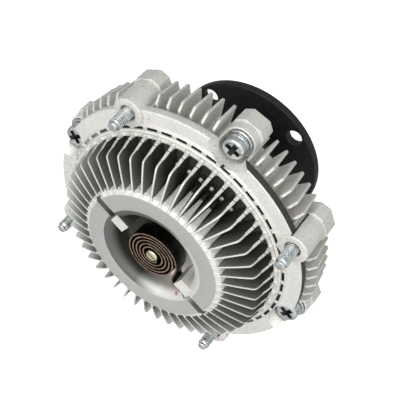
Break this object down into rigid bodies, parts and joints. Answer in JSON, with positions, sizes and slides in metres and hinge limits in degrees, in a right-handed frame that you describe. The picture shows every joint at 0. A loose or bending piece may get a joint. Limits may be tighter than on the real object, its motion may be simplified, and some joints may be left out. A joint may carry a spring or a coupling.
{
  "type": "viscous fan clutch",
  "caption": "Finned viscous clutch for an engine cooling fan: flanged shaft behind, bimetal coil in front, fan bosses round the rim.",
  "frame": {"origin": "centre of the mounting flange's back face, on the clutch's axis", "axes": "+Z along the clutch's axis, from the flange to the bimetal coil; +X through one fan screw"},
  "size_m": [0.1452, 0.1452, 0.0899],
  "materials": {
    "cast_aluminium": "sand cast, lightly shot blasted",
    "black_steel": "black coated forging",
    "machined_aluminium": "turned",
    "zinc_plated_steel": "zinc plated, bright",
    "bearing_steel": "ground",
    "bimetal": "rolled strip, heat tinted",
    "brass": "turned",
    "black_rubber": "moulded"
  },
  "bodies": {
    "drive": {"flanged_shaft": "black_steel", "rotor": "machined_aluminium", "bearing_inner_race": "bearing_steel"},
    "cage": {"bearing_cage": "brass", "bearing_ball_1": "bearing_steel", "bearing_ball_2": "bearing_steel", "bearing_ball_3": "bearing_steel", "bearing_ball_4": "bearing_steel", "bearing_ball_5": "bearing_steel", "bearing_ball_6": "bearing_steel", "bearing_ball_7": "bearing_steel", "bearing_ball_8": "bearing_steel"},
    "housing": {"rear_case": "cast_aluminium", "front_cover": "cast_aluminium", "bearing_outer_race": "bearing_steel", "bearing_seal_front": "black_rubber", "bearing_seal_rear": "black_rubber", "bearing_snap_ring": "bearing_steel", "partition_plate": "machined_aluminium", "case_seal": "black_rubber", "bimetal_coil": "bimetal", "fan_stud_1": "zinc_plated_steel", "fan_stud_2": "zinc_plated_steel", "fan_stud_3": "zinc_plated_steel", "fan_stud_4": "zinc_plated_steel", "fan_screw_1": "zinc_plated_steel", "fan_screw_2": "zinc_plated_steel", "fan_screw_3": "zinc_plated_steel", "fan_screw_4": "zinc_plated_steel", "flat_washer_1": "zinc_plated_steel", "flat_washer_2": "zinc_plated_steel", "flat_washer_3": "zinc_plated_steel", "flat_washer_4": "zinc_plated_steel", "spring_washer_1": "zinc_plated_steel", "spring_washer_2": "zinc_plated_steel", "spring_washer_3": "zinc_plated_steel", "spring_washer_4": "zinc_plated_steel"},
    "valve": {"pivot_pin": "brass", "pivot_seal": "black_rubber", "valve_arm": "bearing_steel"}
  },
  "joints": [
    {"name": "housing_spin", "type": "hinge", "parent": "drive", "child": "housing", "pos_m": [0, 0, 0.035], "axis": [0, 0, 1], "continuous": true},
    {"name": "cage_spin", "type": "hinge", "parent": "drive", "child": "cage", "pos_m": [0, 0, 0.035], "axis": [0, 0, 1], "continuous": true},
    {"name": "valve_turn", "type": "hinge", "parent": "housing", "child": "valve", "pos_m": [0, 0, 0.0775], "axis": [0, 0, 1], "range_deg": [0, 40], "stiffness_Nm_per_rad": 0.02, "deforming": ["bimetal_coil"]}
  ],
  "couplings": [
    {"joint": "cage_spin", "follows": "housing_spin", "ratio": 0.6185}
  ]
}
